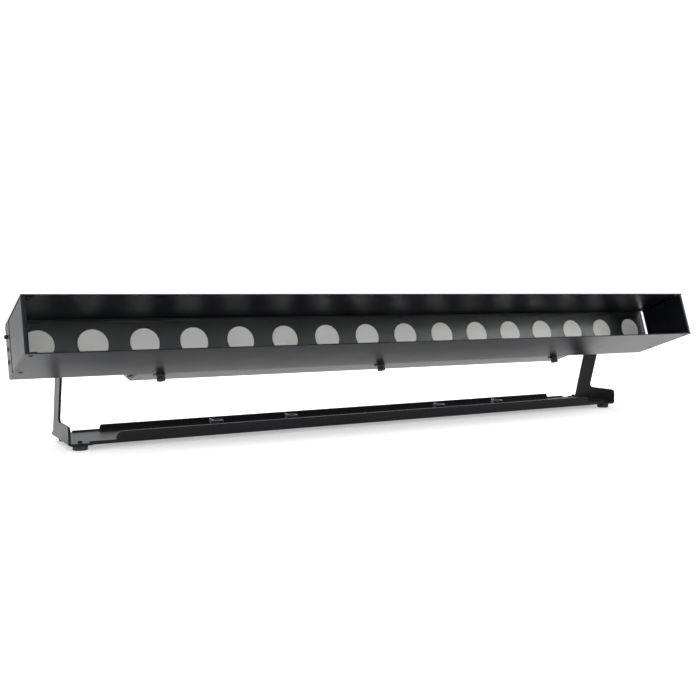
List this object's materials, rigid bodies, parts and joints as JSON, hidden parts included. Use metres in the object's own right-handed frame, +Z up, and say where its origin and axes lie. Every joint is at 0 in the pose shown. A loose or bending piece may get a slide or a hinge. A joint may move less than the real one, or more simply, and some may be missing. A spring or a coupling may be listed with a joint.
{
  "type": "linear floodlight",
  "caption": "Long black LED floodlight bar with a deep glare hood, round frosted lenses behind glass, and a low yoke bracket with rubber feet on which the head tilts.",
  "frame": {"origin": "centre of the underside of the yoke's base plate, where a clamp plate seats", "axes": "+X along the lamp, +Y to the rear, +Z up; the light leaves towards -Y, 18.6 degrees above level at rest"},
  "size_m": [1.0072, 0.1963, 0.1858],
  "materials": {
    "black_powder_coat": "fine textured semi-gloss powder coat on aluminium sheet",
    "yoke_powder_coat": "fine textured semi-gloss powder coat on bent steel sheet",
    "black_anodised": "matt black anodised extrusion",
    "window_glass": "clear toughened glass with a grey tint",
    "frosted_lens": "frosted moulded acrylic",
    "matt_black_mask": "matt black moulded plastic",
    "black_rubber": "black rubber",
    "black_moulded": "fine textured moulded nylon",
    "blackened_steel": "blackened spring steel with a zinc plated rivet",
    "white_board": "white solder mask on an aluminium core board",
    "green_board": "green solder mask",
    "display_cover": "gloss black acrylic",
    "fibre": "hard fibre",
    "supply_case": "plain folded aluminium case",
    "cable_sleeve": "woven black sleeve over wires"
  },
  "bodies": {
    "yoke": {"yoke_bracket": "yoke_powder_coat", "foot_front_left": "black_rubber", "foot_front_right": "black_rubber", "foot_rear_left": "black_rubber", "foot_rear_right": "black_rubber", "clamp_receptacle_1": "blackened_steel", "clamp_receptacle_2": "blackened_steel", "clamp_receptacle_3": "blackened_steel", "clamp_receptacle_4": "blackened_steel", "friction_washer_left": "fibre", "friction_washer_right": "fibre"},
    "head": {"hood_top_flap": "black_powder_coat", "hood_bottom_flap": "black_powder_coat", "hood_side_left": "black_powder_coat", "hood_side_right": "black_powder_coat", "end_cap_left": "black_powder_coat", "end_cap_right": "black_powder_coat", "driver_cover": "black_powder_coat", "pivot_lug_left": "black_powder_coat", "pivot_lug_right": "black_powder_coat", "led_housing": "black_anodised", "front_glass": "window_glass", "glass_gasket": "black_rubber", "lens_mask": "matt_black_mask", "led_board": "white_board", "lens_01": "frosted_lens", "lens_02": "frosted_lens", "lens_03": "frosted_lens", "lens_04": "frosted_lens", "lens_05": "frosted_lens", "lens_06": "frosted_lens", "lens_07": "frosted_lens", "lens_08": "frosted_lens", "lens_09": "frosted_lens", "lens_10": "frosted_lens", "lens_11": "frosted_lens", "lens_12": "frosted_lens", "lens_13": "frosted_lens", "lens_14": "frosted_lens", "lens_15": "frosted_lens", "lens_16": "frosted_lens", "power_in_socket": "black_moulded", "data_in_socket": "black_moulded", "power_out_socket": "black_moulded", "data_out_socket": "black_moulded", "display_window": "display_cover", "control_board": "green_board", "driver_board": "green_board", "power_supply": "supply_case", "wiring_harness": "cable_sleeve"},
    "hood_knob_1": {"hood_knob_1": "black_moulded"},
    "hood_knob_2": {"hood_knob_2": "black_moulded"},
    "hood_knob_3": {"hood_knob_3": "black_moulded"},
    "tilt_knob_left": {"tilt_knob_left": "black_moulded"},
    "tilt_knob_right": {"tilt_knob_right": "black_moulded"},
    "menu_button_1": {"menu_button_1": "black_moulded"},
    "menu_button_2": {"menu_button_2": "black_moulded"},
    "menu_button_3": {"menu_button_3": "black_moulded"},
    "menu_button_4": {"menu_button_4": "black_moulded"}
  },
  "joints": [
    {"name": "head_tilt", "type": "hinge", "parent": "yoke", "child": "head", "pos_m": [0, 0, 0.1025], "axis": [-1, 0, 0], "range_deg": [-40, 150]},
    {"name": "tilt_knob_left_turn", "type": "hinge", "parent": "yoke", "child": "tilt_knob_left", "pos_m": [-0.4373, 0, 0.1025], "axis": [-1, 0, 0], "continuous": true},
    {"name": "tilt_knob_right_turn", "type": "hinge", "parent": "yoke", "child": "tilt_knob_right", "pos_m": [0.4373, 0, 0.1025], "axis": [1, 0, 0], "continuous": true},
    {"name": "hood_knob_1_turn", "type": "hinge", "parent": "head", "child": "hood_knob_1", "pos_m": [-0.32, -0.03318, 0.07853], "axis": [0, 0.319, 0.9478], "continuous": true},
    {"name": "hood_knob_2_turn", "type": "hinge", "parent": "head", "child": "hood_knob_2", "pos_m": [0, -0.03318, 0.07853], "axis": [0, 0.319, 0.9478], "continuous": true},
    {"name": "hood_knob_3_turn", "type": "hinge", "parent": "head", "child": "hood_knob_3", "pos_m": [0.32, -0.03318, 0.07853], "axis": [0, 0.319, 0.9478], "continuous": true},
    {"name": "menu_button_1_press", "type": "slide", "parent": "head", "child": "menu_button_1", "axis": [0, -0.9478, 0.319], "range_m": [0, 0.001], "stiffness_N_per_m": 300, "springref_m": -0.002},
    {"name": "menu_button_2_press", "type": "slide", "parent": "head", "child": "menu_button_2", "axis": [0, -0.9478, 0.319], "range_m": [0, 0.001], "stiffness_N_per_m": 300, "springref_m": -0.002},
    {"name": "menu_button_3_press", "type": "slide", "parent": "head", "child": "menu_button_3", "axis": [0, -0.9478, 0.319], "range_m": [0, 0.001], "stiffness_N_per_m": 300, "springref_m": -0.002},
    {"name": "menu_button_4_press", "type": "slide", "parent": "head", "child": "menu_button_4", "axis": [0, -0.9478, 0.319], "range_m": [0, 0.001], "stiffness_N_per_m": 300, "springref_m": -0.002}
  ]
}
